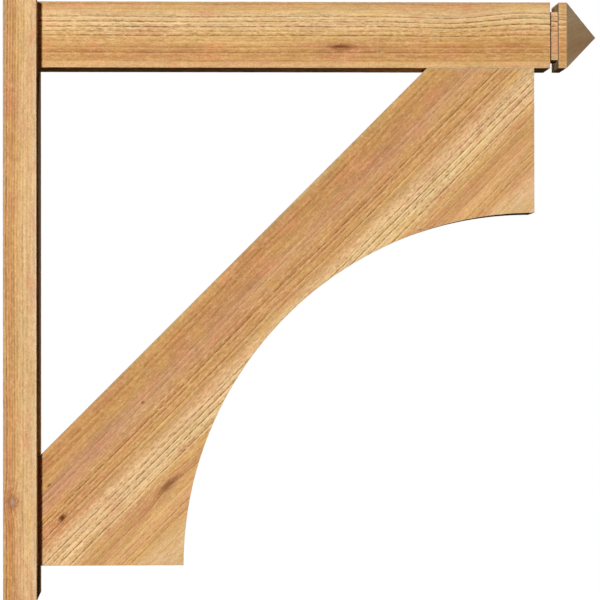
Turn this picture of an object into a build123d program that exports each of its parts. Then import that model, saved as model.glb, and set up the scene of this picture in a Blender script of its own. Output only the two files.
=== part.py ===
"""Gable outlooker: a rough-sawn cedar bracket that carries the overhang of a gable roof.

A wide post stands against the wall. A square beam reaches out from the top of the post and
ends in a grooved, four-sided point. A heavy brace with a quarter-round underside props the
beam from the post. The three timbers meet in plain butt joints, held by countersunk timber
screws driven where they don't show: through the wall side of the post, and down through the
top of the beam.

Frame: X runs out from the wall, Y across the bracket and Z up. The origin is the middle of
the face that lies against the wall. Sizes are in millimetres.
"""

import os

from build123d import *

# Timbers
BEAM_WIDTH = 90.0  # across the bracket, also the thickness of the brace
BEAM_DEPTH = 90.0  # top to underside
BEAM_REACH = 700.0  # from the post's face to the groove
POST_THICKNESS = 45.0
POST_WIDTH = 195.0
POST_TAIL = 45.0  # how far the post runs on below the brace

# Pointed end of the beam
GROOVE_LENGTH = 11.5
GROOVE_DEPTH = 12.0
COLLAR_LENGTH = 11.0
POINT_LENGTH = 45.0

# Brace
BRACE_SETBACK = 22.0  # from the brace's outer end back from the groove
BRACE_END = 198.0  # length of each square-cut end, where the curve runs out
BRACE_SEAT = 147.0  # how much of the brace bears on the post, and on the beam

# Timber screws
THREAD_DIAMETER = 8.0
SHANK_DIAMETER = 5.8
THREAD_LENGTH = 60.0
TIP_LENGTH = 7.0
HEAD_DIAMETER = 15.0
HEAD_RIM = 0.8
HEAD_SINK = 1.0  # from the timber's surface down to the top of the head
DRIVE_DIAMETER = 6.6  # across the points of the star recess
DRIVE_ROOT_DIAMETER = 4.7
DRIVE_DEPTH = 3.6
DRIVE_POINTS = 6
POST_SCREW_BITE = 85.0  # how far a screw reaches into the second timber
BEAM_SCREW_BITE = 70.0
END_SCREW_SPACING = 44.0  # square of four in the beam's end
SEAT_SCREW_SPACING = 76.0  # pair in each seat of the brace

# Clearances
THREAD_CLEARANCE = 0.1  # round a thread in its pilot hole
SHANK_CLEARANCE = 0.3  # round a thread where it passes through the first timber
HEAD_CLEARANCE = 0.1  # round a head in its countersink
PILOT_RUN = 2.0  # from a screw's tip on to the bottom of its pilot hole

# Places worked out from the sizes above
brace_reach = BEAM_REACH - BRACE_SETBACK
brace_radius = brace_reach - BRACE_END
brace_leg = brace_reach - BRACE_SEAT
post_height = BEAM_DEPTH + brace_reach + POST_TAIL
post_top = post_height / 2
beam_underside = post_top - BEAM_DEPTH
beam_middle = post_top - BEAM_DEPTH / 2
groove_start = POST_THICKNESS + BEAM_REACH
collar_start = groove_start + GROOVE_LENGTH
point_start = collar_start + COLLAR_LENGTH
point_tip = point_start + POINT_LENGTH
foot_seat_middle = beam_underside - brace_leg - BRACE_SEAT / 2
head_seat_middle = POST_THICKNESS + brace_leg + BRACE_SEAT / 2


def cross_section(at, width, depth):
    """A rectangle across the beam, at a distance from the wall."""
    section = Plane(origin=(at, 0, beam_middle), x_dir=(0, 1, 0), z_dir=(1, 0, 0))
    return section * Rectangle(width, depth)


def turned(profile):
    """A solid of revolution from points of radius and height, about the Z axis."""
    outline = Plane.XZ * make_face(Polyline(*profile, close=True))
    return revolve(outline, Axis.Z)


def post_screw(y, z):
    """Where a screw enters the wall side of the post, pointing away from the wall."""
    return Location((0, y, z), (0, -90, 0))


def beam_screw(x):
    """Where a screw enters the top of the beam, pointing down."""
    return Location((x, 0, post_top))


def through_hole(thickness):
    """Countersunk clearance hole through the first timber, from its surface at Z = 0 down."""
    head = HEAD_DIAMETER / 2 + HEAD_CLEARANCE
    bore = THREAD_DIAMETER / 2 + SHANK_CLEARANCE
    rim_bottom = -HEAD_SINK - HEAD_RIM
    cone_bottom = rim_bottom - (head - bore)
    profile = [
        (0, 0),
        (head, 0),
        (head, rim_bottom),
        (bore, cone_bottom),
        (bore, -thickness),
        (0, -thickness),
    ]
    return turned(profile)


def pilot_hole(thickness, bite):
    """Blind hole in the second timber, from the joint on to just past the screw's tip."""
    radius = THREAD_DIAMETER / 2 + THREAD_CLEARANCE
    bottom = -thickness - bite - PILOT_RUN
    return turned([(0, -thickness), (radius, -thickness), (radius, bottom), (0, bottom)])


def star_recess():
    """Star-shaped socket for the driver, from Z = 0 down."""
    corners = []
    for corner in range(2 * DRIVE_POINTS):
        diameter = DRIVE_ROOT_DIAMETER if corner % 2 else DRIVE_DIAMETER
        corners.append(Vector(diameter / 2, 0).rotate(Axis.Z, corner * 180 / DRIVE_POINTS))
    return extrude(make_face(Polyline(*corners, close=True)), -DRIVE_DEPTH)


def timber_screw(thickness, bite):
    """Countersunk screw through one timber into the next. The thread is shown as its outer size."""
    head = HEAD_DIAMETER / 2
    shank = SHANK_DIAMETER / 2
    thread = THREAD_DIAMETER / 2
    top = -HEAD_SINK
    rim_bottom = top - HEAD_RIM
    cone_bottom = rim_bottom - (head - shank)
    tip = -thickness - bite
    thread_top = tip + THREAD_LENGTH
    run_out = thread - shank
    profile = [
        (0, top),
        (head, top),
        (head, rim_bottom),
        (shank, cone_bottom),
        (shank, thread_top),
        (thread, thread_top - run_out),
        (thread, tip + TIP_LENGTH),
        (0, tip),
    ]
    return turned(profile) - Pos(0, 0, top) * star_recess()


# Where each joint's screws go in
end_offset = END_SCREW_SPACING / 2
seat_offset = SEAT_SCREW_SPACING / 2
beam_end_places = [
    post_screw(y, beam_middle + z) for z in (end_offset, -end_offset) for y in (-end_offset, end_offset)
]
brace_foot_places = [post_screw(0, foot_seat_middle + z) for z in (seat_offset, -seat_offset)]
brace_head_places = [beam_screw(head_seat_middle + x) for x in (-seat_offset, seat_offset)]


def make_post():
    """Wide rough-sawn plank that stands against the wall, square cut at both ends."""
    side = Plane.XZ * Pos(POST_THICKNESS / 2, 0) * Rectangle(POST_THICKNESS, post_height)
    post = extrude(side, POST_WIDTH / 2, both=True)
    for place in beam_end_places + brace_foot_places:
        post -= place * through_hole(POST_THICKNESS)
    return post


def make_beam():
    """Square beam with a groove cut round it near the outer end, and a four-sided point."""
    beam = extrude(cross_section(POST_THICKNESS, BEAM_WIDTH, BEAM_DEPTH), point_start - POST_THICKNESS)
    neck = cross_section(groove_start, BEAM_WIDTH - 2 * GROOVE_DEPTH, BEAM_DEPTH - 2 * GROOVE_DEPTH)
    groove = cross_section(groove_start, BEAM_WIDTH, BEAM_DEPTH) - neck
    beam -= extrude(groove, GROOVE_LENGTH)
    shoulder = cross_section(point_start, BEAM_WIDTH, BEAM_DEPTH)
    beam += loft([shoulder.face(), Vertex(point_tip, 0, beam_middle)])
    for place in beam_end_places:
        beam -= place * pilot_hole(POST_THICKNESS, POST_SCREW_BITE)
    for place in brace_head_places:
        beam -= place * through_hole(BEAM_DEPTH)
    return beam


def make_brace():
    """Brace with a straight 45 degree back, two square-cut ends and a quarter-round underside."""
    corner_x = POST_THICKNESS
    corner_z = beam_underside
    outer_x = corner_x + brace_reach
    foot_z = corner_z - brace_reach
    straight = Polyline(
        (corner_x + BRACE_END, foot_z),
        (corner_x, foot_z),
        (corner_x, corner_z - brace_leg),
        (corner_x + brace_leg, corner_z),
        (outer_x, corner_z),
        (outer_x, corner_z - BRACE_END),
    )
    curve = CenterArc((outer_x, foot_z), brace_radius, 90, 90)
    side = Plane.XZ * make_face(straight + curve)
    brace = extrude(side, BEAM_WIDTH / 2, both=True)
    for place in brace_foot_places:
        brace -= place * pilot_hole(POST_THICKNESS, POST_SCREW_BITE)
    for place in brace_head_places:
        brace -= place * pilot_hole(BEAM_DEPTH, BEAM_SCREW_BITE)
    return brace


def group_of(screw, places):
    """Like screws, one in each place."""
    return Compound([place * screw for place in places])


post_timber_screw = timber_screw(POST_THICKNESS, POST_SCREW_BITE)
beam_timber_screw = timber_screw(BEAM_DEPTH, BEAM_SCREW_BITE)

pieces = {
    "wall_post": make_post(),
    "outlooker_beam": make_beam(),
    "curved_brace": make_brace(),
    "beam_end_screws": group_of(post_timber_screw, beam_end_places),
    "brace_foot_screws": group_of(post_timber_screw, brace_foot_places),
    "brace_head_screws": group_of(beam_timber_screw, brace_head_places),
}

os.makedirs("parts", exist_ok=True)
for name, piece in pieces.items():
    export_step(piece, os.path.join("parts", name + ".step"))
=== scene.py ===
import bisect
import math

import bmesh
import bpy
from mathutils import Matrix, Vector, noise


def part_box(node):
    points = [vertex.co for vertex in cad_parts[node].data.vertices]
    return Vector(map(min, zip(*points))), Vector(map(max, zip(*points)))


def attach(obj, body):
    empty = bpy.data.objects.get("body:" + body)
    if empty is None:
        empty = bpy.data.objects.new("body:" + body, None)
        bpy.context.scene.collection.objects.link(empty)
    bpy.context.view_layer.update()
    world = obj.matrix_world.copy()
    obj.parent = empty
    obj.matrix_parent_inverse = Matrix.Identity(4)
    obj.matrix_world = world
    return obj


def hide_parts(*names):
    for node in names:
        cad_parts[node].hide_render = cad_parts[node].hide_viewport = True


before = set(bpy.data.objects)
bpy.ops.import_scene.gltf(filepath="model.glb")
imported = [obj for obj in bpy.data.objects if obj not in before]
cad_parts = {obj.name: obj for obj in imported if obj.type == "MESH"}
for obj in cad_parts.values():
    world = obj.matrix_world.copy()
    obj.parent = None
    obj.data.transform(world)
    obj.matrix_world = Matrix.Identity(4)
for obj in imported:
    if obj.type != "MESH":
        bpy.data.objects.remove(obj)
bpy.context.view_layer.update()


# Wall post.
# A wide plank of rough-sawn western red cedar that stands against the wall, square cut at both
# ends. Six holes for the timber screws are bored and countersunk from its wall side.

MM = 0.001
ARRIS_STEP = 0.5 * MM
ARRIS_ROOM = 1.5 * MM


def spaced(low, high, step):
    """Places from low to high, about a step apart, with closer ones beside both arrises."""
    inner_low, inner_high = low + ARRIS_ROOM, high - ARRIS_ROOM
    count = max(2, round((inner_high - inner_low) / step))
    middle = [inner_low + (inner_high - inner_low) * index / count for index in range(count + 1)]
    return [low, low + ARRIS_STEP] + middle + [high - ARRIS_STEP, high]


def rectangle_ring(half_a, half_b, step):
    """Points round a rectangle, as shares of its half sizes, so that a ring can grow and shrink."""
    side_a = [a / half_a for a in spaced(-half_a, half_a, step)[:-1]]
    side_b = [b / half_b for b in spaced(-half_b, half_b, step)[:-1]]
    ring = [(a, -1.0) for a in side_a]
    ring += [(1.0, b) for b in side_b]
    ring += [(-a, 1.0) for a in side_a]
    ring += [(-1.0, -b) for b in side_b]
    return ring


def axial_ring(entry, direction, depth, radii):
    """Points round an axis at a depth along it, one for each radius."""
    side = direction.orthogonal().normalized()
    over = direction.cross(side)
    turns = [2 * math.pi * index / len(radii) for index in range(len(radii))]
    middle = entry + direction * depth
    return [middle + (side * math.cos(t) + over * math.sin(t)) * r for t, r in zip(turns, radii)]


def lofted(name, *bodies):
    """A mesh of closed bodies. Each is a list of rings of points, drawn to a point at both ends."""
    shape = bmesh.new()
    for rings in bodies:
        rows = [[shape.verts.new(point) for point in ring] for ring in rings]
        count = len(rows[0])
        for lower, upper in zip(rows, rows[1:]):
            for index in range(count):
                after = (index + 1) % count
                shape.faces.new((lower[index], lower[after], upper[after], upper[index]))
        for row in (rows[0], rows[-1]):
            centre = shape.verts.new(sum((vertex.co for vertex in row), Vector()) / count)
            for index in range(count):
                shape.faces.new((row[index], row[(index + 1) % count], centre))
    bmesh.ops.recalc_face_normals(shape, faces=shape.faces)
    mesh = bpy.data.meshes.new(name)
    shape.to_mesh(mesh)
    shape.free()
    return mesh


def piece_from(mesh):
    """An object at the origin that holds the mesh."""
    piece = bpy.data.objects.new(mesh.name, mesh)
    bpy.context.scene.collection.objects.link(piece)
    return piece


def bored(piece, holes):
    """Cuts holes out of a timber. Each hole is a list of rings of points."""
    cutter = piece_from(lofted("drill", *holes))
    cut = piece.modifiers.new("holes", "BOOLEAN")
    cut.operation = "DIFFERENCE"
    cut.solver = "EXACT"
    cut.object = cutter
    solid, drill = piece.data, cutter.data
    graph = bpy.context.evaluated_depsgraph_get()
    piece.data = bpy.data.meshes.new_from_object(piece.evaluated_get(graph))
    piece.modifiers.clear()
    bpy.data.objects.remove(cutter)
    bpy.data.meshes.remove(drill)
    bpy.data.meshes.remove(solid)


HEAD_RADIUS = 7.5 * MM
HEAD_SINK = 1.0 * MM
HEAD_RIM = 0.8 * MM
HEAD_CLEARANCE = 0.1 * MM
BORE_RADIUS = 4.3 * MM
HOLE_SIDES = 40
BREAK_OUT = 3.0 * MM


def screw_places(node, direction):
    """Where each screw of a node enters, read from the corners of the node's box."""
    low, high = (Vector(corner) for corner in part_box(node))
    entries = []
    for y in sorted({low.y + HEAD_RADIUS, high.y - HEAD_RADIUS}):
        if direction.x:
            surface = low.x - HEAD_SINK
            entries += [Vector((surface, y, z)) for z in (low.z + HEAD_RADIUS, high.z - HEAD_RADIUS)]
        else:
            surface = high.z + HEAD_SINK
            entries += [Vector((x, y, surface)) for x in (low.x + HEAD_RADIUS, high.x - HEAD_RADIUS)]
    apart = []
    for entry in entries:
        if all((entry - other).length > HEAD_RADIUS for other in apart):
            apart.append(entry)
    return apart


def screw_hole(entry, direction, thickness):
    """A countersunk hole through the first timber."""
    head = HEAD_RADIUS + HEAD_CLEARANCE
    seat = HEAD_SINK + HEAD_RIM
    outline = [
        (-BREAK_OUT, head),
        (seat, head),
        (seat + head - BORE_RADIUS, BORE_RADIUS),
        (thickness + BREAK_OUT, BORE_RADIUS),
    ]
    return [axial_ring(entry, direction, depth, [radius] * HOLE_SIDES) for depth, radius in outline]


def wood_noise(place, along_count, cross_count, shift=0.0):
    """Noise with so many features per metre along the grain and across it."""
    along, growth, depth = place
    spot = (along * along_count, growth * cross_count, depth * cross_count + shift)
    return noise.noise(Vector(spot))


RING_WANDER = 1.5 * MM
RING_RIPPLE = 0.35 * MM
FAINT_LINE = 0.25


class Log:
    """Where a timber lay in its tree.

    across is measured over the show face from one of its arrises, and depth through the timber.
    The dark lines of the growth rings, with a strength each, and the bands that the saw tore, with
    a half width and a strength each, are given by their distance across the show face. swells
    bend the rings aside: along, across, length, width and push.
    """

    def __init__(self, grain, across, edge, show_depth, heart, lines, torn_bands, swells, seed):
        self.grain = Vector(grain).normalized()
        self.across = Vector(across).normalized()
        self.edge = edge
        self.show_depth = show_depth
        self.heart = heart
        self.seed = seed
        self.swells = swells
        self.turn = 1 if lines[-1][0] > heart[0] else -1
        self.lines = [self.turn * self.ring_at(place) for place, strength in lines]
        self.strengths = [strength for place, strength in lines]
        self.torn_bands = [(self.ring_at(place), width, strength) for place, width, strength in torn_bands]

    def ring_at(self, across):
        """Distance from the heart of the tree to a place across the show face."""
        return math.hypot(across - self.heart[0], self.show_depth - self.heart[1])

    def place(self, point):
        """A point as along the grain, across the show face and depth."""
        return point.dot(self.grain), point.dot(self.across) - self.edge, point.y

    def growth(self, along, across, depth):
        """Distance from the heart of the tree, as its rings wander."""
        radius = math.hypot(across - self.heart[0], depth - self.heart[1])
        wander = Vector((along * 3, self.seed, depth * 4))
        ripple = Vector((along * 13, across * 12, self.seed + depth * 15))
        radius += RING_WANDER * noise.noise(wander) + RING_RIPPLE * noise.noise(ripple)
        for middle, beside, length, width, push in self.swells:
            near = ((along - middle) / length) ** 2 + ((across - beside) / width) ** 2
            radius += self.turn * push * math.exp(-near)
        return radius

    def ring_count(self, growth):
        """Rings out to a growth, with the gap between two there and how dark their lines are."""
        place = self.turn * growth
        after = min(max(bisect.bisect(self.lines, place), 1), len(self.lines) - 1)
        low, high = self.lines[after - 1], self.lines[after]
        share = (place - low) / (high - low)
        held = min(1.0, max(0.0, share))
        strength = self.strengths[after - 1] * (1 - held) + self.strengths[after] * held
        return after - 1 + share, high - low, strength if share == held else FAINT_LINE

    def torn(self, along, growth, depth):
        """How badly the saw tore the surface."""
        patch = 0.75 + 0.7 * wood_noise((along, growth, depth), 11, 60, self.seed)
        reach = [s * math.exp(-((growth - middle) / width) ** 4) for middle, width, s in self.torn_bands]
        return min(1.0, max(0.0, patch)) * max(reach)


HOLE_FALL_OFF = 8


def left_rough(point, holes):
    """0 on the wall of a bored hole and 1 clear of it. A hole is an entry, a way, a radius and a reach."""
    share = 1.0
    for entry, direction, radius, reach in holes:
        if (point - entry).dot(direction) < reach:
            off_axis = (point - entry).cross(direction).length
            share = min(share, (off_axis / radius) ** HOLE_FALL_OFF)
    return share


TIMBER_SHARP = math.radians(40)

# Widths of what the saw and the weather left
ARRIS_REACH = 1.6 * MM
GROOVE_HALF = 1.4 * MM
RIDGE_OFF = 2.4 * MM
RIDGE_HALF = 1.5 * MM

# Heights of the same, in millimetres
GROOVE_SINK = 0.24
RIDGE_RISE = 0.12
SWAY_RISE = 0.06
FUZZ_RISE = 0.04
TORN_FUZZ_RISE = 0.07
ARRIS_WEAR = 0.10
ARRIS_CHIPS = 0.20


def rough_sawn(piece, log, edge_distance, holes):
    """Roughens a clean timber along its grain, and writes on it what its material reads."""
    mesh = piece.data
    written = {name: [] for name in ("growth", "rings", "gap", "line", "torn", "arris")}
    moved = []
    for vertex in mesh.vertices:
        along, across, depth = log.place(vertex.co)
        growth = log.growth(along, across, depth)
        rings, gap, line = log.ring_count(growth)
        torn = log.torn(along, growth, depth)
        arris = max(0.0, 1 - edge_distance(vertex.co) / ARRIS_REACH)
        past_line = ((rings + 0.5) % 1.0 - 0.5) * gap
        groove = math.exp(-((past_line / GROOVE_HALF) ** 2)) * line
        ridge = math.exp(-(((past_line - RIDGE_OFF) / RIDGE_HALF) ** 2)) * line
        place = (along, growth, depth)
        broken = 0.85 + 0.4 * wood_noise(place, 45, 40)
        fuzz = wood_noise(place, 70, 210)
        sway = wood_noise(place, 8, 20, 40)
        chips = noise.noise(vertex.co * 90)
        lift = SWAY_RISE * sway + (FUZZ_RISE + TORN_FUZZ_RISE * torn) * fuzz
        lift += (RIDGE_RISE * ridge - GROOVE_SINK * groove) * broken
        lift -= arris * (ARRIS_WEAR + ARRIS_CHIPS * chips)
        moved.append(vertex.co + vertex.normal * lift * left_rough(vertex.co, holes) * MM)
        for name, value in zip(written, (growth, rings, gap, line, torn, arris)):
            written[name].append(value)
    mesh.vertices.foreach_set("co", [value for point in moved for value in point])
    for name, values in written.items():
        mesh.attributes.new(name, "FLOAT", "POINT").data.foreach_set("value", values)
    squareness = [abs(face.normal.dot(log.grain)) for face in mesh.polygons]
    mesh.attributes.new("end_grain", "FLOAT", "FACE").data.foreach_set("value", squareness)
    mesh.shade_smooth()
    mesh.set_sharp_from_angle(angle=TIMBER_SHARP)


def put(tree, kind, inputs=(), **options):
    """Adds a shader node, sets its options, and fills or links its inputs."""
    node = tree.nodes.new("ShaderNode" + kind)
    for option, value in options.items():
        setattr(node, option, value)
    for socket, value in inputs.items() if isinstance(inputs, dict) else enumerate(inputs):
        if isinstance(value, bpy.types.NodeSocket):
            tree.links.new(value, node.inputs[socket])
        else:
            node.inputs[socket].default_value = value
    return node


def maths(tree, operation, *values):
    """The result of a Math node."""
    return put(tree, "Math", values, operation=operation).outputs[0]


def ranged(tree, value, low, high, to_low=0.0, to_high=1.0):
    """A value brought from one range to another, clamped."""
    return put(tree, "MapRange", (value, low, high, to_low, to_high)).outputs[0]


def blended(tree, factor, first, second, mode="MIX"):
    """Two colours mixed by a factor."""
    inputs = {0: factor, 6: first, 7: second}
    return put(tree, "Mix", inputs, data_type="RGBA", blend_type=mode).outputs[2]


def grain_noise(tree, place, stretch, detail=2.0, roughness=0.5, offset=0.0):
    """Noise drawn out along the grain. stretch is in features per metre: along, across, depth."""
    inputs = {0: place, 1: stretch, 2: (offset, offset, offset)}
    scaled = put(tree, "VectorMath", inputs, operation="MULTIPLY_ADD").outputs[0]
    look = {"Vector": scaled, "Scale": 1.0, "Detail": detail, "Roughness": roughness}
    return put(tree, "TexNoise", look).outputs[0]


def group_tree(name, inputs, outputs):
    """An empty shader group with named sockets."""
    tree = bpy.data.node_groups.new(name, "ShaderNodeTree")
    for direction, sockets in (("INPUT", inputs), ("OUTPUT", outputs)):
        for socket, kind in sockets:
            tree.interface.new_socket(socket, in_out=direction, socket_type="NodeSocket" + kind)
    return tree, tree.nodes.new("NodeGroupInput").outputs, tree.nodes.new("NodeGroupOutput").inputs


def srgb(red, green, blue):
    """A colour from its everyday values of 0 to 255."""
    shares = [value / 255 for value in (red, green, blue)]
    linear = [s / 12.92 if s <= 0.04045 else ((s + 0.055) / 1.055) ** 2.4 for s in shares]
    return (*linear, 1.0)


def dyed(tree, colour, mask, share, dye):
    """The colour, turned towards a dye by a share of the mask."""
    return blended(tree, maths(tree, "MULTIPLY", mask, share), colour, srgb(*dye))


LINE_WAVER = 0.35 * MM
LINE_HALF = 1.0 * MM
LINE_CORE = 0.2 * MM
# Offset and half width of the painted highlight beside each ring line
HIGHLIGHT_OFF = 1.6 * MM
HIGHLIGHT_HALF = 1.3 * MM
SAW_PITCH = 3.7 * MM
SAW_WANDER = 11.0
CUT_SHADE = (0.60, 0.67, 0.83, 1.0)


def sawn_cedar_group():
    """Rough-sawn cedar over its band colour: ring lines with painted highlights beside them, torn fibres
    with painted pit shade and highlights, streaks and worn arrises.
    """
    tree, given, result = group_tree(
        "sawn cedar",
        [
            ("Band Color", "Color"), ("Place", "Vector"), ("Rings", "Float"), ("Gap", "Float"),
            ("Line", "Float"), ("Torn", "Float"), ("Arris", "Float"), ("End Grain", "Float"),
        ],
        [("Color", "Color"), ("Roughness", "Float"), ("Height", "Float")],
    )
    place = given["Place"]
    side = ranged(tree, given["End Grain"], 0.72, 0.35)
    cut = ranged(tree, given["End Grain"], 0.30, 0.70)

    # Dark ring lines, broken along the grain, with a painted highlight just past each
    sideways = grain_noise(tree, place, (75, 60, 60))
    waver = ranged(tree, sideways, 0.2, 0.8, -LINE_WAVER, LINE_WAVER)
    ring_share = maths(tree, "FRACT", maths(tree, "ADD", given["Rings"], 0.5))
    from_line = maths(tree, "SUBTRACT", ring_share, 0.5)
    past_line = maths(tree, "MULTIPLY_ADD", from_line, given["Gap"], waver)
    breaks = grain_noise(tree, place, (140, 110, 110), 2.0, 0.6, 5.0)
    broken = ranged(tree, breaks, 0.36, 0.58, 0.35, 1.0)
    shown = maths(tree, "MULTIPLY", maths(tree, "MULTIPLY", broken, given["Line"]), side)
    off_line = maths(tree, "ABSOLUTE", past_line)
    dark_line = maths(tree, "MULTIPLY", ranged(tree, off_line, LINE_HALF, LINE_CORE), shown)
    beside = maths(tree, "ABSOLUTE", maths(tree, "SUBTRACT", past_line, HIGHLIGHT_OFF))
    painted_highlight_line = maths(tree, "MULTIPLY", ranged(tree, beside, HIGHLIGHT_HALF, LINE_CORE), shown)

    # Short torn fibres, with painted shade where they left a pit and a painted highlight where they stand
    # up
    tear = maths(tree, "MULTIPLY", maths(tree, "MULTIPLY_ADD", given["Torn"], 0.58, 0.26), side)
    dashes = grain_noise(tree, place, (150, 520, 520), 2.0, 0.6, 9.0)
    pit_shade = maths(tree, "MULTIPLY", ranged(tree, dashes, 0.46, 0.30), tear)
    tuft_highlight = maths(tree, "MULTIPLY", ranged(tree, dashes, 0.54, 0.70), tear)

    # Patches of another hue, then light and dark streaks, furrows and specks
    hue = grain_noise(tree, place, (5, 60, 60), 2.0, 0.5, 25.0)
    patch = grain_noise(tree, place, (26, 75, 75), 2.0, 0.5, 29.0)
    colour = dyed(tree, given["Band Color"], ranged(tree, hue, 0.40, 0.68), 0.30, (204, 142, 104))
    colour = dyed(tree, colour, ranged(tree, hue, 0.56, 0.34), 0.20, (222, 184, 118))
    colour = dyed(tree, colour, ranged(tree, patch, 0.52, 0.72), 0.45, (216, 146, 104))
    colour = dyed(tree, colour, ranged(tree, patch, 0.48, 0.30), 0.35, (216, 168, 96))
    streaks = grain_noise(tree, place, (22, 330, 330), 3.0, 0.6, 17.0)
    specks = grain_noise(tree, place, (420, 640, 640), 1.0, 0.5, 13.0)
    mottle = grain_noise(tree, place, (10, 85, 85), 3.0, 0.55, 21.0)
    furrows = grain_noise(tree, place, (9, 400, 400), 1.0, 0.5, 33.0)
    shade = ranged(tree, streaks, 0.25, 0.75, 0.86, 1.14)
    shade = maths(tree, "MULTIPLY", shade, ranged(tree, specks, 0.25, 0.75, 0.86, 1.13))
    shade = maths(tree, "MULTIPLY", shade, ranged(tree, mottle, 0.25, 0.75, 0.94, 1.06))
    furrow_depth = maths(tree, "MULTIPLY", tear, 1.1)
    furrowed = maths(tree, "MULTIPLY", maths(tree, "SUBTRACT", furrows, 0.5), furrow_depth)
    shade = maths(tree, "ADD", shade, furrowed)
    grey = put(tree, "CombineColor", (shade, shade, shade)).outputs[0]
    colour = blended(tree, 1.0, colour, grey, "MULTIPLY")

    # The lines with their painted highlights, and the fibres with painted pit shade and painted highlights,
    # over them, then worn arrises and duller cut ends
    colour = dyed(tree, colour, dark_line, 0.92, (126, 78, 34))
    colour = dyed(tree, colour, pit_shade, 0.75, (142, 90, 44))
    colour = dyed(tree, colour, painted_highlight_line, 0.50, (254, 222, 170))
    colour = dyed(tree, colour, tuft_highlight, 0.72, (255, 224, 172))
    wear = ranged(tree, mottle, 0.35, 0.6, 0.25, 0.55)
    colour = dyed(tree, colour, given["Arris"], wear, (198, 172, 134))
    colour = dyed(tree, colour, cut, 0.55, (212, 168, 116))
    colour = blended(tree, cut, colour, CUT_SHADE, "MULTIPLY")
    tree.links.new(colour, result["Color"])
    tree.links.new(ranged(tree, streaks, 0.2, 0.8, 0.92, 0.74), result["Roughness"])

    # Fine relief, with the ripple that the saw's teeth left
    along = put(tree, "SeparateXYZ", (place,)).outputs[0]
    chatter = maths(tree, "MULTIPLY", along, 2 * math.pi / SAW_PITCH)
    saw = maths(tree, "SINE", maths(tree, "MULTIPLY_ADD", mottle, SAW_WANDER, chatter))
    height = maths(tree, "MULTIPLY", dashes, maths(tree, "MULTIPLY_ADD", given["Torn"], 1.4, 0.6))
    height = maths(tree, "MULTIPLY_ADD", streaks, 0.7, height)
    height = maths(tree, "MULTIPLY_ADD", specks, 0.4, height)
    height = maths(tree, "MULTIPLY_ADD", dark_line, -0.8, height)
    height = maths(tree, "MULTIPLY_ADD", saw, 0.06, height)
    tree.links.new(height, result["Height"])
    return tree


RAGGED = 0.45


def stain_group():
    """A soft patch of another colour, stretched along the grain, with a ragged edge."""
    tree, given, result = group_tree(
        "stain",
        [
            ("Color", "Color"), ("Place", "Vector"), ("Centre", "Vector"), ("Reach", "Vector"),
            ("Stain Color", "Color"), ("Strength", "Float"),
        ],
        [("Color", "Color")],
    )
    away = put(tree, "VectorMath", (given["Place"], given["Centre"]), operation="SUBTRACT").outputs[0]
    share = put(tree, "VectorMath", (away, given["Reach"]), operation="DIVIDE").outputs[0]
    distance = put(tree, "VectorMath", (share,), operation="LENGTH").outputs["Value"]
    edge = grain_noise(tree, given["Place"], (110, 420, 420), 3.0, 0.6, 31.0)
    ragged = ranged(tree, edge, 0.2, 0.8, -RAGGED, RAGGED)
    inside = ranged(tree, maths(tree, "ADD", distance, ragged), 1.2, 0.35)
    factor = maths(tree, "MULTIPLY", inside, given["Strength"])
    tree.links.new(blended(tree, factor, given["Color"], given["Stain Color"]), result["Color"])
    return tree


sawn_cedar = sawn_cedar_group()
stain = stain_group()


def stained(tree, colour, place, spots):
    """The colour with spots of another on it, each with its middle and reach in millimetres."""
    for centre, reach, spot_colour, strength in spots:
        inputs = {
            "Color": colour,
            "Place": place,
            "Centre": [value * MM for value in centre],
            "Reach": [value * MM for value in reach],
            "Stain Color": srgb(*spot_colour),
            "Strength": strength,
        }
        colour = put(tree, "Group", inputs, node_tree=stain).outputs["Color"]
    return colour


BUMP_STRENGTH = 0.8
BUMP_DEPTH = 0.5 * MM


def cedar_material(name, log, grain_turn, bands, stains, knots):
    """Cedar for one timber: colour bands across the show face, stains, sawn surface and knots."""
    material = bpy.data.materials.new(name)
    material.use_nodes = True
    tree = material.node_tree
    shader = tree.nodes["Principled BSDF"]
    position = put(tree, "TexCoord").outputs["Object"]
    turned = put(tree, "Mapping", {"Vector": position, "Rotation": grain_turn}).outputs[0]
    reads = {
        attribute: put(tree, "Attribute", attribute_name=attribute).outputs["Fac"]
        for attribute in ("growth", "rings", "gap", "line", "torn", "arris", "end_grain")
    }
    apart = put(tree, "SeparateXYZ", (turned,)).outputs
    place = put(tree, "CombineXYZ", (apart[0], reads["growth"], apart[1])).outputs[0]

    stops = sorted((log.ring_at(across * MM), colour) for across, colour in bands)
    inner, outer = stops[0][0], stops[-1][0]
    ramp = put(tree, "ValToRGB", (ranged(tree, reads["growth"], inner, outer),))
    ramp.color_ramp.interpolation = "B_SPLINE"
    elements = ramp.color_ramp.elements
    elements[0].color, elements[1].color = srgb(*stops[0][1]), srgb(*stops[-1][1])
    for growth, colour in stops[1:-1]:
        elements.new((growth - inner) / (outer - inner)).color = srgb(*colour)
    feeds = {
        "Band Color": stained(tree, ramp.outputs[0], turned, stains),
        "Place": place,
        "Rings": reads["rings"],
        "Gap": reads["gap"],
        "Line": reads["line"],
        "Torn": reads["torn"],
        "Arris": reads["arris"],
        "End Grain": reads["end_grain"],
    }
    surface = put(tree, "Group", feeds, node_tree=sawn_cedar)
    colour = stained(tree, surface.outputs["Color"], turned, knots)
    tree.links.new(colour, shader.inputs["Base Color"])
    tree.links.new(surface.outputs["Roughness"], shader.inputs["Roughness"])
    shader.inputs["Specular IOR Level"].default_value = 0.0
    relief = {"Strength": BUMP_STRENGTH, "Distance": BUMP_DEPTH, "Height": surface.outputs["Height"]}
    tree.links.new(put(tree, "Bump", relief).outputs[0], shader.inputs["Normal"])
    return material


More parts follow.
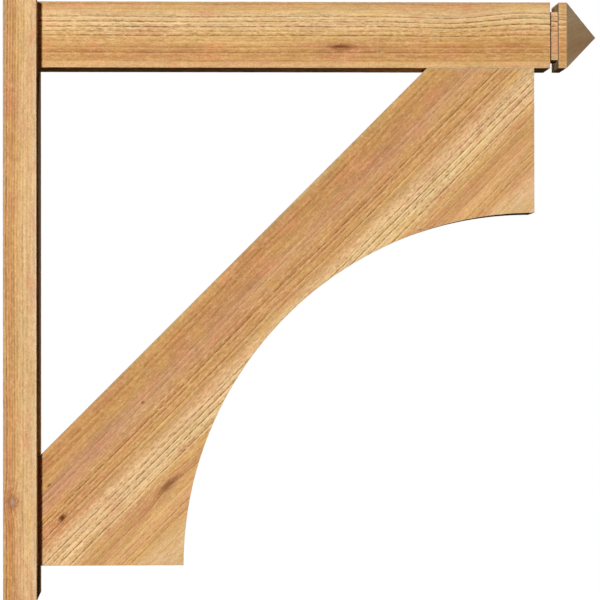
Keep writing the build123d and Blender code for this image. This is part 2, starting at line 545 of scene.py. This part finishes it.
post_low, post_high = (Vector(corner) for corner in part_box("wall_post"))
post_middle = (post_low + post_high) / 2
post_half = (post_high - post_low) / 2
POST_ALONG_STEP = 6.5 * MM
POST_ACROSS_STEP = 1.1 * MM
CAP_SHARES = (0.1, 0.3, 0.5, 0.68, 0.82, 0.92, 0.98)
post_ring = rectangle_ring(post_half.x, post_half.y, POST_ACROSS_STEP)
post_rows = [(post_low.z, share) for share in CAP_SHARES]
post_rows += [(height, 1.0) for height in spaced(post_low.z, post_high.z, POST_ALONG_STEP)]
post_rows += [(post_high.z, share) for share in reversed(CAP_SHARES)]
post_rings = [
    [
        Vector((post_middle.x + a * post_half.x * share, b * post_half.y * share, height))
        for a, b in post_ring
    ]
    for height, share in post_rows
]
outward = Vector((1, 0, 0))
post_thickness = post_high.x - post_low.x
beam_end_screws = screw_places("beam_end_screws", outward)
brace_foot_screws = screw_places("brace_foot_screws", outward)


def post_edge(point):
    """Distance from the nearest arris of the post."""
    faces = [abs(point[axis] - corner[axis]) for axis in range(3) for corner in (post_low, post_high)]
    return sorted(faces)[1]


wall_post = piece_from(lofted("wall_post_timber", post_rings))
post_screws = beam_end_screws + brace_foot_screws
bored(wall_post, [screw_hole(entry, outward, post_thickness) for entry in post_screws])
post_log = Log(
    grain=(0, 0, 1),
    across=(1, 0, 0),
    edge=post_low.x,
    show_depth=post_low.y,
    heart=(-0.075, 0.0),
    lines=(
        (1.2 * MM, 0.3), (5.0 * MM, 0.75), (9.0 * MM, 0.25), (12.6 * MM, 0.45), (15.6 * MM, 0.40),
        (20.0 * MM, 0.30), (23.5 * MM, 0.12), (27.2 * MM, 0.34), (33.0 * MM, 0.12), (38.0 * MM, 0.12),
        (43.0 * MM, 0.10),
    ),
    torn_bands=((22 * MM, 12 * MM, 0.12),),
    swells=((-0.274, 0.012, 0.020, 0.012, 4 * MM),),
    seed=3.0,
)
HEAD_BARE = 10 * MM
post_bare = [(entry, outward, HEAD_BARE, 2 * post_thickness) for entry in post_screws]
rough_sawn(wall_post, post_log, post_edge, post_bare)
post_cedar = cedar_material(
    "post cedar",
    post_log,
    grain_turn=(0, math.pi / 2, 0),
    bands=(
        (0, (198, 170, 130)),
        (3, (208, 158, 102)),
        (8, (210, 152, 97)),
        (15, (207, 153, 97)),
        (18, (217, 168, 113)),
        (22, (223, 181, 127)),
        (30, (224, 184, 133)),
        (37, (226, 186, 137)),
        (42, (226, 190, 146)),
        # the palest stop, at the right arris, is a painted highlight line
        (45, (242, 216, 180)),
    ),
    stains=(
        ((-352, -97, -8), (76, 40, 6), (220, 146, 82), 0.75),
        ((-272, -97, -12.6), (22, 40, 12), (170, 100, 52), 0.70),
        ((-303, -97, -10), (24, 40, 6), (190, 114, 66), 0.55),
        ((259, -97, -9), (26, 40, 5), (190, 116, 70), 0.50),
    ),
    knots=(
        ((-272, -97, -12.6), (10, 40, 7.2), (134, 84, 50), 0.75),
        ((-272, -97, -12.8), (6.5, 40, 4.6), (190, 146, 122), 0.95),
    ),
)
wall_post.data.materials.append(post_cedar)
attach(wall_post, "root")
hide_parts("wall_post")


# Outlooker beam.
# One square timber of the same cedar, butted against the post and screwed to it. A groove is sawn
# round it near the outer end, which leaves a square collar, and the end is cut to a point.

beam_low, beam_high = (Vector(corner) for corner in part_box("outlooker_beam"))
beam_half = (beam_high.z - beam_low.z) / 2
beam_axis = (beam_high.z + beam_low.z) / 2
GROOVE_DEPTH = 12 * MM
GROOVE_LENGTH = 11.5 * MM
COLLAR_LENGTH = 11 * MM
POINT_LENGTH = 45 * MM
POINT_STEPS = 30
BEAM_ALONG_STEP = 6 * MM
BEAM_ACROSS_STEP = 1.0 * MM
GROOVE_STEP = 2.5 * MM
STEP_SHARES = (0.06, 0.33, 0.66, 0.94)
TIP_HALF = 0.02 * MM
point_start = beam_high.x - POINT_LENGTH
collar_start = point_start - COLLAR_LENGTH
groove_start = collar_start - GROOVE_LENGTH
neck_half = beam_half - GROOVE_DEPTH

beam_rows = [(beam_low.x, beam_half * share) for share in CAP_SHARES]
beam_rows += [(x, beam_half) for x in spaced(beam_low.x, groove_start, BEAM_ALONG_STEP)]
beam_rows += [(groove_start, beam_half - GROOVE_DEPTH * share) for share in STEP_SHARES]
beam_rows += [(x, neck_half) for x in spaced(groove_start, collar_start, GROOVE_STEP)]
beam_rows += [(collar_start, neck_half + GROOVE_DEPTH * share) for share in STEP_SHARES]
beam_rows += [(x, beam_half) for x in spaced(collar_start, point_start, GROOVE_STEP)]
for step in range(1, POINT_STEPS):
    share = step / POINT_STEPS
    beam_rows.append((point_start + POINT_LENGTH * share, beam_half * (1 - share)))
beam_rows.append((beam_high.x, TIP_HALF))
beam_ring = rectangle_ring(beam_half, beam_half, BEAM_ACROSS_STEP)
beam_rings = [
    [Vector((x, a * half, beam_axis + b * half)) for a, b in beam_ring]
    for x, half in beam_rows
]
EDGE_SLACK = 0.5 * MM
POINT_SLACK = 0.1 * MM
POINT_WEAR = 0.05


def beam_edge(point):
    """Distance from the nearest arris of the beam, its groove, its collar or its point."""
    wide, narrow = sorted((abs(point.y), abs(point.z - beam_axis)), reverse=True)
    if point.x > point_start + POINT_SLACK:
        return max(min(wide - narrow, point.x - point_start), POINT_WEAR * (beam_high.x - point.x))
    steps = (beam_low.x, groove_start, collar_start, point_start)
    ends = min(abs(point.x - step) for step in steps)
    face = beam_half if wide > neck_half + EDGE_SLACK else neck_half
    return min(max(abs(face - wide), ends), max(abs(face - wide), abs(face - narrow)))


PILOT_RADIUS = 4.1 * MM
PILOT_RUN = 2.0 * MM


def pilot_hole(entry, direction, thickness, bite):
    """A blind hole in the second timber, from the joint to just past the screw's tip."""
    ends = (thickness - BREAK_OUT, thickness + bite + PILOT_RUN)
    return [axial_ring(entry, direction, depth, [PILOT_RADIUS] * HOLE_SIDES) for depth in ends]


outlooker_beam = piece_from(lofted("outlooker_beam_timber", beam_rings))
downward = Vector((0, 0, -1))
brace_head_screws = screw_places("brace_head_screws", downward)
post_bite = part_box("beam_end_screws")[1][0] - post_high.x
beam_depth = beam_high.z - beam_low.z
beam_holes = [pilot_hole(entry, outward, post_thickness, post_bite) for entry in beam_end_screws]
beam_holes += [screw_hole(entry, downward, beam_depth) for entry in brace_head_screws]
bored(outlooker_beam, beam_holes)
beam_log = Log(
    grain=(1, 0, 0),
    across=(0, 0, -1),
    edge=-beam_high.z,
    show_depth=beam_low.y,
    heart=(0.120, 0.0),
    lines=(
        (3.4 * MM, 0.35), (10.5 * MM, 0.15), (20.2 * MM, 0.75), (27.0 * MM, 0.85), (33.8 * MM, 1.0),
        (40.0 * MM, 0.45), (45.9 * MM, 0.90), (53.0 * MM, 0.20), (61.4 * MM, 0.35), (68.9 * MM, 0.50),
        (80.3 * MM, 0.30), (88.0 * MM, 0.15),
    ),
    torn_bands=((33 * MM, 15 * MM, 1.0), (48 * MM, 8 * MM, 0.5), (70 * MM, 6 * MM, 0.2)),
    swells=((0.715, 0.018, 0.060, 0.020, 5 * MM), (0.608, 0.024, 0.050, 0.022, -2 * MM)),
    seed=11.0,
)
PILOT_BARE = 7 * MM
beam_bare = [(entry, outward, PILOT_BARE, 2 * beam_depth) for entry in beam_end_screws]
beam_bare += [(entry, downward, HEAD_BARE, 2 * beam_depth) for entry in brace_head_screws]
rough_sawn(outlooker_beam, beam_log, beam_edge, beam_bare)
beam_cedar = cedar_material(
    "beam cedar",
    beam_log,
    grain_turn=(0, 0, 0),
    bands=(
        (0, (182, 156, 116)),
        (3, (206, 157, 103)),
        (8, (215, 165, 109)),
        (12, (224, 188, 132)),
        (18, (229, 194, 143)),
        (26, (232, 197, 143)),
        (34, (232, 195, 139)),
        (42, (225, 182, 120)),
        (47, (208, 160, 99)),
        (52, (223, 179, 116)),
        (58, (216, 166, 106)),
        (66, (184, 127, 72)),
        (72, (196, 141, 86)),
        (80, (213, 160, 101)),
        (85, (224, 177, 122)),
        (90, (229, 187, 138)),
    ),
    stains=(
        ((458, -45, 344), (40, 60, 11), (172, 112, 66), 0.60),
        ((640, -45, 352), (130, 60, 30), (198, 138, 76), 0.60),
        ((628, -45, 344), (40, 60, 8), (184, 122, 66), 0.55),
        ((705, -45, 344), (34, 60, 9), (182, 120, 64), 0.55),
        ((751, -45, 361), (6.5, 60, 80), (200, 162, 126), 0.80),
        ((763, -45, 361), (5.5, 60, 80), (210, 152, 90), 0.70),
    ),
    knots=(
        ((458, -45, 345), (24, 60, 4.2), (140, 86, 50), 0.70),
        ((458, -45, 345.6), (12, 60, 2.2), (112, 66, 42), 0.85),
        ((458, -45, 346), (2.2, 60, 6), (128, 78, 50), 0.70),
    ),
)
outlooker_beam.data.materials.append(beam_cedar)
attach(outlooker_beam, "root")
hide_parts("outlooker_beam")


# Curved brace.
# Cut on the slant from one wide cedar plank, so its grain runs at 45 degrees. A band saw took out
# the quarter-round underside. It is butted and screwed to the post and the beam.

brace_low, brace_high = (Vector(corner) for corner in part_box("curved_brace"))
brace_reach = brace_high.x - brace_low.x
BRACE_END = 198 * MM
BRACE_SEAT = 147 * MM
BRACE_ACROSS_STEP = 1.0 * MM
BRACE_CURVE_STEP = 4.0 * MM
BRACE_DEPTH_STEP = 3.2 * MM
BRACE_COLUMNS = 128
LEAST_STEP = 0.3
WELD = 0.001 * MM
FOOT_SIDE, HEAD_SIDE = -1, 1
brace_radius = brace_reach - BRACE_END
brace_leg = brace_reach - BRACE_SEAT
slant = math.sqrt(0.5)
back_half = brace_leg * slant
curve_centre = (2 * brace_reach - brace_leg) * slant
waist = curve_centre - brace_radius
widest = curve_centre - brace_radius * slant

brace_levels = spaced(0.0, waist, BRACE_ACROSS_STEP)
waist_level = len(brace_levels) - 1
swing = 0.0
curve_swing = BRACE_CURVE_STEP / brace_radius
last_swing = math.pi / 4 - LEAST_STEP * BRACE_ACROSS_STEP / brace_radius
while True:
    level_swing = BRACE_ACROSS_STEP / (brace_radius * math.sin(swing + curve_swing))
    swing += min(curve_swing, level_swing)
    if swing > last_swing:
        break
    brace_levels.append(curve_centre - brace_radius * math.cos(swing))
brace_levels.append(widest)
brace_depths = spaced(brace_low.y, brace_high.y, BRACE_DEPTH_STEP)


def brace_along(level, column, side):
    """How far along the plank a column lies. Past the waist each side has its own, round the curve."""
    across = brace_levels[level]
    end = min(back_half + across, curve_centre - across)
    share = 2 * column / BRACE_COLUMNS - 1
    if level <= waist_level:
        return end * share
    curve = math.sqrt(max(0.0, brace_radius ** 2 - (curve_centre - across) ** 2))
    return side * (curve + (end - curve) * abs(share))


def brace_vertex(shape, made, level, column, side, depth):
    """The vertex at a grid place, made when it is first asked for."""
    along, across = brace_along(level, column, side), brace_levels[level]
    key = (round(along / WELD), level, depth)
    if key not in made:
        out = (along + across + back_half) * slant
        down = (across + back_half - along) * slant
        made[key] = shape.verts.new((brace_low.x + out, brace_depths[depth], brace_high.z - down))
    return made[key]


def brace_mesh():
    """The brace as a grid along its grain on both faces, joined by its edges."""
    shape = bmesh.new()
    made = {}
    middle = BRACE_COLUMNS // 2
    last = len(brace_depths) - 1

    def face(*places):
        corners = list(dict.fromkeys(brace_vertex(shape, made, *place) for place in places))
        if len(corners) > 2:
            shape.faces.new(corners)

    for level in range(len(brace_levels) - 1):
        for column in range(BRACE_COLUMNS):
            side = FOOT_SIDE if column < middle else HEAD_SIDE
            below, beyond = level + 1, column + 1
            corners = ((level, column), (below, column), (below, beyond), (level, beyond))
            for depth in (0, last):
                face(*((*corner, side, depth) for corner in corners))
    edge = [(0, column, FOOT_SIDE) for column in range(BRACE_COLUMNS)]
    edge += [(level, BRACE_COLUMNS, HEAD_SIDE) for level in range(len(brace_levels))]
    edge += [(level, middle, HEAD_SIDE) for level in range(len(brace_levels) - 2, waist_level, -1)]
    edge += [(level, middle, FOOT_SIDE) for level in range(waist_level, len(brace_levels))]
    edge += [(level, 0, FOOT_SIDE) for level in range(len(brace_levels) - 2, 0, -1)]
    for start, after in zip(edge, edge[1:] + edge[:1]):
        for depth in range(last):
            face((*start, depth), (*after, depth), (*after, depth + 1), (*start, depth + 1))
    bmesh.ops.recalc_face_normals(shape, faces=shape.faces)
    mesh = bpy.data.meshes.new("curved_brace_timber")
    shape.to_mesh(mesh)
    shape.free()
    return mesh


def brace_edge(point):
    """Distance from the nearest arris of the brace."""
    out, down = point.x - brace_low.x, brace_high.z - point.z
    curve = math.hypot(brace_reach - out, brace_reach - down) - brace_radius
    back = (out + down) * slant - back_half
    sides = sorted(abs(side) for side in (back, out, down, brace_reach - out, brace_reach - down, curve))
    face = min(abs(point.y - brace_low.y), abs(point.y - brace_high.y))
    return min(max(face, sides[0]), sides[1])


curved_brace = piece_from(brace_mesh())
head_bite = beam_low.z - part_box("brace_head_screws")[0][2]
brace_holes = [pilot_hole(entry, outward, post_thickness, post_bite) for entry in brace_foot_screws]
brace_holes += [pilot_hole(entry, downward, beam_depth, head_bite) for entry in brace_head_screws]
bored(curved_brace, brace_holes)
brace_back = Vector((brace_low.x + brace_leg, 0, brace_high.z))
brace_log = Log(
    grain=(1, 0, 1),
    across=(1, 0, -1),
    edge=brace_back.dot(Vector((slant, 0, -slant))),
    show_depth=brace_low.y,
    heart=(-0.014, 0.005),
    lines=(
        (3.0 * MM, 0.15), (9.0 * MM, 0.15), (15.0 * MM, 0.35), (22.5 * MM, 0.20), (32.0 * MM, 0.12),
        (43.0 * MM, 0.30), (49.8 * MM, 0.30), (62.1 * MM, 0.25), (70.3 * MM, 0.85), (75.8 * MM, 0.40),
        (85.3 * MM, 0.70), (91.5 * MM, 0.30), (97.6 * MM, 0.20), (109.2 * MM, 0.80), (116.0 * MM, 0.85),
        (123.6 * MM, 1.0), (134.5 * MM, 0.95), (148.1 * MM, 0.40), (158.4 * MM, 0.40), (170.0 * MM, 0.30),
        (184.3 * MM, 0.60), (192.5 * MM, 0.45), (198.2 * MM, 0.20), (210.3 * MM, 0.25), (225.0 * MM, 0.20),
        (238.0 * MM, 0.20),
    ),
    torn_bands=((120 * MM, 24 * MM, 1.0), (76 * MM, 16 * MM, 0.45), (186 * MM, 12 * MM, 0.2)),
    swells=((0.256, 0.120, 0.060, 0.080, 2 * MM), (-0.024, 0.150, 0.030, 0.014, 5 * MM)),
    seed=23.0,
)
brace_bare = [(entry, outward, PILOT_BARE, 2 * beam_depth) for entry in brace_foot_screws]
brace_bare += [(entry, downward, PILOT_BARE, 2 * beam_depth) for entry in brace_head_screws]
rough_sawn(curved_brace, brace_log, brace_edge, brace_bare)
brace_cedar = cedar_material(
    "brace cedar",
    brace_log,
    grain_turn=(0, math.pi / 4, 0),
    bands=(
        (0, (192, 164, 114)),
        (3, (216, 166, 108)),
        (11, (192, 136, 82)),
        (20, (190, 132, 78)),
        (28, (198, 146, 92)),
        (36, (187, 134, 87)),
        (44, (197, 143, 104)),
        (54, (206, 153, 107)),
        (64, (204, 151, 98)),
        (70, (193, 138, 78)),
        (80, (209, 157, 98)),
        (88, (201, 150, 94)),
        (96, (212, 167, 113)),
        (104, (237, 199, 149)),
        (116, (232, 196, 143)),
        (128, (243, 208, 153)),
        (137, (223, 179, 119)),
        (144, (220, 175, 115)),
        (151, (205, 155, 98)),
        (160, (202, 151, 96)),
        (170, (222, 174, 114)),
        (176, (235, 188, 130)),
        (186, (210, 157, 97)),
        (195, (216, 167, 106)),
        (204, (229, 187, 135)),
        (218, (231, 193, 145)),
        (230, (223, 185, 138)),
    ),
    stains=(
        ((-60, -45, -232), (200, 50, 16), (198, 144, 118), 0.45),
        ((-154, -45, -265), (20, 50, 8), (176, 112, 56), 0.60),
        ((46, -45, -326), (60, 50, 8), (228, 174, 98), 0.50),
        ((-45, -45, -339), (78, 50, 9), (186, 126, 90), 0.60),
        ((-24, -45, -335.5), (26, 50, 6.5), (132, 78, 50), 0.80),
    ),
    knots=(
        ((-154, -45, -265), (7.4, 50, 4.4), (118, 70, 38), 0.85),
        ((-154, -45, -265), (4.2, 50, 2.8), (88, 48, 24), 0.75),
        ((-136, -45, -221), (4.5, 50, 1.7), (120, 74, 42), 0.80),
        ((34, -45, -231), (3, 50, 2.2), (128, 76, 44), 0.70),
        ((-24, -45, -335.5), (18, 50, 3.6), (142, 88, 56), 0.60),
        ((468, -45, -333), (3, 50, 2), (140, 90, 50), 0.60),
    ),
)
curved_brace.data.materials.append(brace_cedar)
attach(curved_brace, "root")
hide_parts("curved_brace")


# Timber screws.
# Hardened steel with a baked bronze coating: a countersunk head with a star socket, a plain shank
# and a rolled thread. Four hold the beam to the post, and two hold each end of the brace.

SHANK_RADIUS = 2.9 * MM
THREAD_RADIUS = 4.0 * MM
THREAD_LENGTH = 60 * MM
TIP_LENGTH = 7 * MM
THREAD_PITCH = 3.6 * MM
THREAD_STEP = 0.45 * MM
THREAD_FLANK = 0.28
SOCKET_DEPTH = 3.6 * MM
SOCKET_RADIUS = 3.3 * MM
SOCKET_ROOT = 2.35 * MM
SOCKET_POINTS = 6
SOCKET_FLARE = 0.25 * MM
HEAD_BREAK = 0.3 * MM
SCREW_SIDES = 36


def screw_rings(entry, direction, thickness, bite):
    """Rings down a screw, from the bottom of its socket over the head to its tip."""
    turns = [2 * math.pi * index / SCREW_SIDES for index in range(SCREW_SIDES)]
    top, rim = HEAD_SINK, HEAD_SINK + HEAD_RIM
    cone = rim + HEAD_RADIUS - SHANK_RADIUS
    tip = thickness + bite
    waves = [0.5 + 0.5 * math.cos(SOCKET_POINTS * turn) for turn in turns]
    star = [SOCKET_ROOT + (SOCKET_RADIUS - SOCKET_ROOT) * wave for wave in waves]
    flare = [radius + SOCKET_FLARE for radius in star]
    rings = [(top + SOCKET_DEPTH, star), (top + SOCKET_FLARE, star), (top, flare)]
    plain = [
        (top, HEAD_RADIUS - HEAD_BREAK),
        (top + SOCKET_FLARE, HEAD_RADIUS),
        (rim, HEAD_RADIUS),
        (cone, SHANK_RADIUS),
        (tip - THREAD_LENGTH, SHANK_RADIUS),
    ]
    rings += [(depth, [radius] * SCREW_SIDES) for depth, radius in plain]
    steps = round((THREAD_LENGTH - TIP_LENGTH / 8) / THREAD_STEP)
    for step in range(1, steps):
        depth = tip - THREAD_LENGTH + step * THREAD_STEP
        taper = min(1.0, (tip - depth) / TIP_LENGTH)
        run_in = min(1.0, step * THREAD_STEP / THREAD_PITCH)
        radii = []
        for turn in turns:
            phase = (depth / THREAD_PITCH - turn / (2 * math.pi)) % 1.0
            crest = max(0.0, 1 - abs(phase - 0.5) / THREAD_FLANK)
            radii.append((SHANK_RADIUS + (THREAD_RADIUS - SHANK_RADIUS) * crest * run_in) * taper)
        rings.append((depth, radii))
    return [axial_ring(entry, direction, depth, radii) for depth, radii in rings]


SCREW_SHARP = math.radians(35)
bronze = bpy.data.materials.new("bronze coating")
bronze.use_nodes = True
bronze_tree = bronze.node_tree
bronze_shader = bronze_tree.nodes["Principled BSDF"]
bronze_place = put(bronze_tree, "TexCoord").outputs["Object"]
speckle = grain_noise(bronze_tree, bronze_place, (900, 900, 900), 3.0, 0.6)
rubs = grain_noise(bronze_tree, bronze_place, (260, 260, 260), 4.0, 0.6, 5.0)
rubbed = ranged(bronze_tree, rubs, 0.56, 0.68)
fleck = ranged(bronze_tree, speckle, 0.3, 0.7)
bronze_coat = blended(bronze_tree, fleck, srgb(112, 86, 58), srgb(140, 110, 76))
bronze_colour = blended(bronze_tree, rubbed, bronze_coat, srgb(168, 160, 148))
bronze_tree.links.new(bronze_colour, bronze_shader.inputs["Base Color"])
bronze_tree.links.new(ranged(bronze_tree, rubbed, 0, 1, 0.55, 0.9), bronze_shader.inputs["Metallic"])
bronze_tree.links.new(ranged(bronze_tree, speckle, 0.3, 0.7, 0.48, 0.32), bronze_shader.inputs["Roughness"])
bronze_relief = {"Strength": 0.3, "Distance": 0.05 * MM, "Height": speckle}
bronze_bump = put(bronze_tree, "Bump", bronze_relief).outputs[0]
bronze_tree.links.new(bronze_bump, bronze_shader.inputs["Normal"])

screw_sets = (
    ("beam_end_screws", beam_end_screws, outward, post_thickness, post_bite),
    ("brace_foot_screws", brace_foot_screws, outward, post_thickness, post_bite),
    ("brace_head_screws", brace_head_screws, downward, beam_depth, head_bite),
)
for node, places, direction, thickness, bite in screw_sets:
    bodies = [screw_rings(entry, direction, thickness, bite) for entry in places]
    screws = piece_from(lofted(node + "_threaded", *bodies))
    screws.data.shade_smooth()
    screws.data.set_sharp_from_angle(angle=SCREW_SHARP)
    screws.data.materials.append(bronze)
    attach(screws, "root")
    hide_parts(node)


# Floor, lamps and camera.
# A pale floor well under the bracket, which hangs on its wall. The key lamp is in front, a little
# to the left and above, and soft lamps behind, above and at both sides light what it leaves dark.

FLOOR_BELOW = 1.0
FLOOR_HALF = 20.0
FLOOR_SHADE = 2.0
FLOOR_FADE = 4.5
FLOOR_PALE = 0.36
FLOOR_GREY = (0.55, 0.55, 0.55, 1)
FLOOR_DARK = (0.03, 0.03, 0.03, 1)
BLACK = (0, 0, 0, 1)
WHITE = (1, 1, 1, 1)
floor_height = post_low.z - FLOOR_BELOW
floor_mesh = bpy.data.meshes.new("floor")
floor_turns = ((-1, -1), (1, -1), (1, 1), (-1, 1))
floor_corners = [(x * FLOOR_HALF, y * FLOOR_HALF, floor_height) for x, y in floor_turns]
floor_mesh.from_pydata(floor_corners, [], [(0, 1, 2, 3)])
floor = piece_from(floor_mesh)


def background_seen(tree):
    """1 for rays from the camera, straight or by way of metal or glass, and 0 for all others."""
    rays = put(tree, "LightPath").outputs
    mirrored = maths(tree, "MAXIMUM", rays["Is Glossy Ray"], rays["Is Transmission Ray"])
    return maths(tree, "MAXIMUM", rays["Is Camera Ray"], mirrored)


floor_paint = bpy.data.materials.new("floor paint")
floor_paint.use_nodes = True
floor_tree = floor_paint.node_tree
floor_shader = floor_tree.nodes["Principled BSDF"]
floor_seen = background_seen(floor_tree)
floor_place = put(floor_tree, "TexCoord").outputs["Object"]
floor_reach = put(floor_tree, "VectorMath", (floor_place,), operation="LENGTH").outputs["Value"]
floor_white = ranged(floor_tree, floor_reach, FLOOR_SHADE, FLOOR_FADE, FLOOR_PALE, 1.0)
floor_pale = put(floor_tree, "CombineColor", (floor_white, floor_white, floor_white)).outputs[0]
floor_colour = blended(floor_tree, floor_seen, FLOOR_DARK, FLOOR_GREY)
floor_tree.links.new(floor_colour, floor_shader.inputs["Base Color"])
floor_shader.inputs["Roughness"].default_value = 0.9
floor_shader.inputs["Specular IOR Level"].default_value = 0.0
floor_glow = blended(floor_tree, floor_seen, BLACK, floor_pale)
floor_tree.links.new(floor_glow, floor_shader.inputs["Emission Color"])
floor_shader.inputs["Emission Strength"].default_value = 1.0
floor_mesh.materials.append(floor_paint)

FILL_STRENGTH = 0.02
world = bpy.data.worlds.new("studio")
bpy.context.scene.world = world
world.use_nodes = True
world_tree = world.node_tree
world_tree.nodes.clear()
dim = put(world_tree, "Background", {"Color": WHITE, "Strength": FILL_STRENGTH})
bright = put(world_tree, "Background", {"Color": WHITE, "Strength": 1.0})
surround_inputs = (background_seen(world_tree), dim.outputs[0], bright.outputs[0])
surround = put(world_tree, "MixShader", surround_inputs)
put(world_tree, "OutputWorld", (surround.outputs[0],))


LAMP_AIM = Vector((0.4, 0, 0))


def lamp(name, place, size, watts):
    """A round soft lamp that looks at the middle of the bracket."""
    light = bpy.data.lights.new(name, "AREA")
    light.shape = "DISK"
    light.size = size
    light.energy = watts
    holder = bpy.data.objects.new(name, light)
    bpy.context.scene.collection.objects.link(holder)
    holder.location = place
    holder.rotation_euler = (LAMP_AIM - Vector(place)).to_track_quat("-Z", "Y").to_euler()


lamp("key", (-0.66, -5.95, 0.72), 0.3, 360)
lamp("behind", (-0.1, 4.2, 0.45), 0.4, 120)
lamp("above", (0.3, 0.1, 4.6), 0.6, 100)
lamp("left", (-4.5, 0.6, 1.0), 0.5, 190)
lamp("right", (4.6, 0.6, 0.9), 0.3, 24)

FRAME_PX = 600
FOCAL_PX = 3591
CAMERA_PLACE = (0.2129, -4.938, -0.0441)
CAMERA_TURN = math.radians(2.212)
CAMERA_LIFT = math.radians(0.511)
CAMERA_ROLL = math.radians(0.07)
camera_data = bpy.data.cameras.new("camera")
camera_data.lens = camera_data.sensor_width * FOCAL_PX / FRAME_PX
camera = bpy.data.objects.new("camera", camera_data)
bpy.context.scene.collection.objects.link(camera)
camera.location = CAMERA_PLACE
camera.rotation_euler = (math.pi / 2 + CAMERA_LIFT, CAMERA_ROLL, -CAMERA_TURN)
bpy.context.scene.camera = camera
bpy.context.scene.view_settings.view_transform = "Standard"
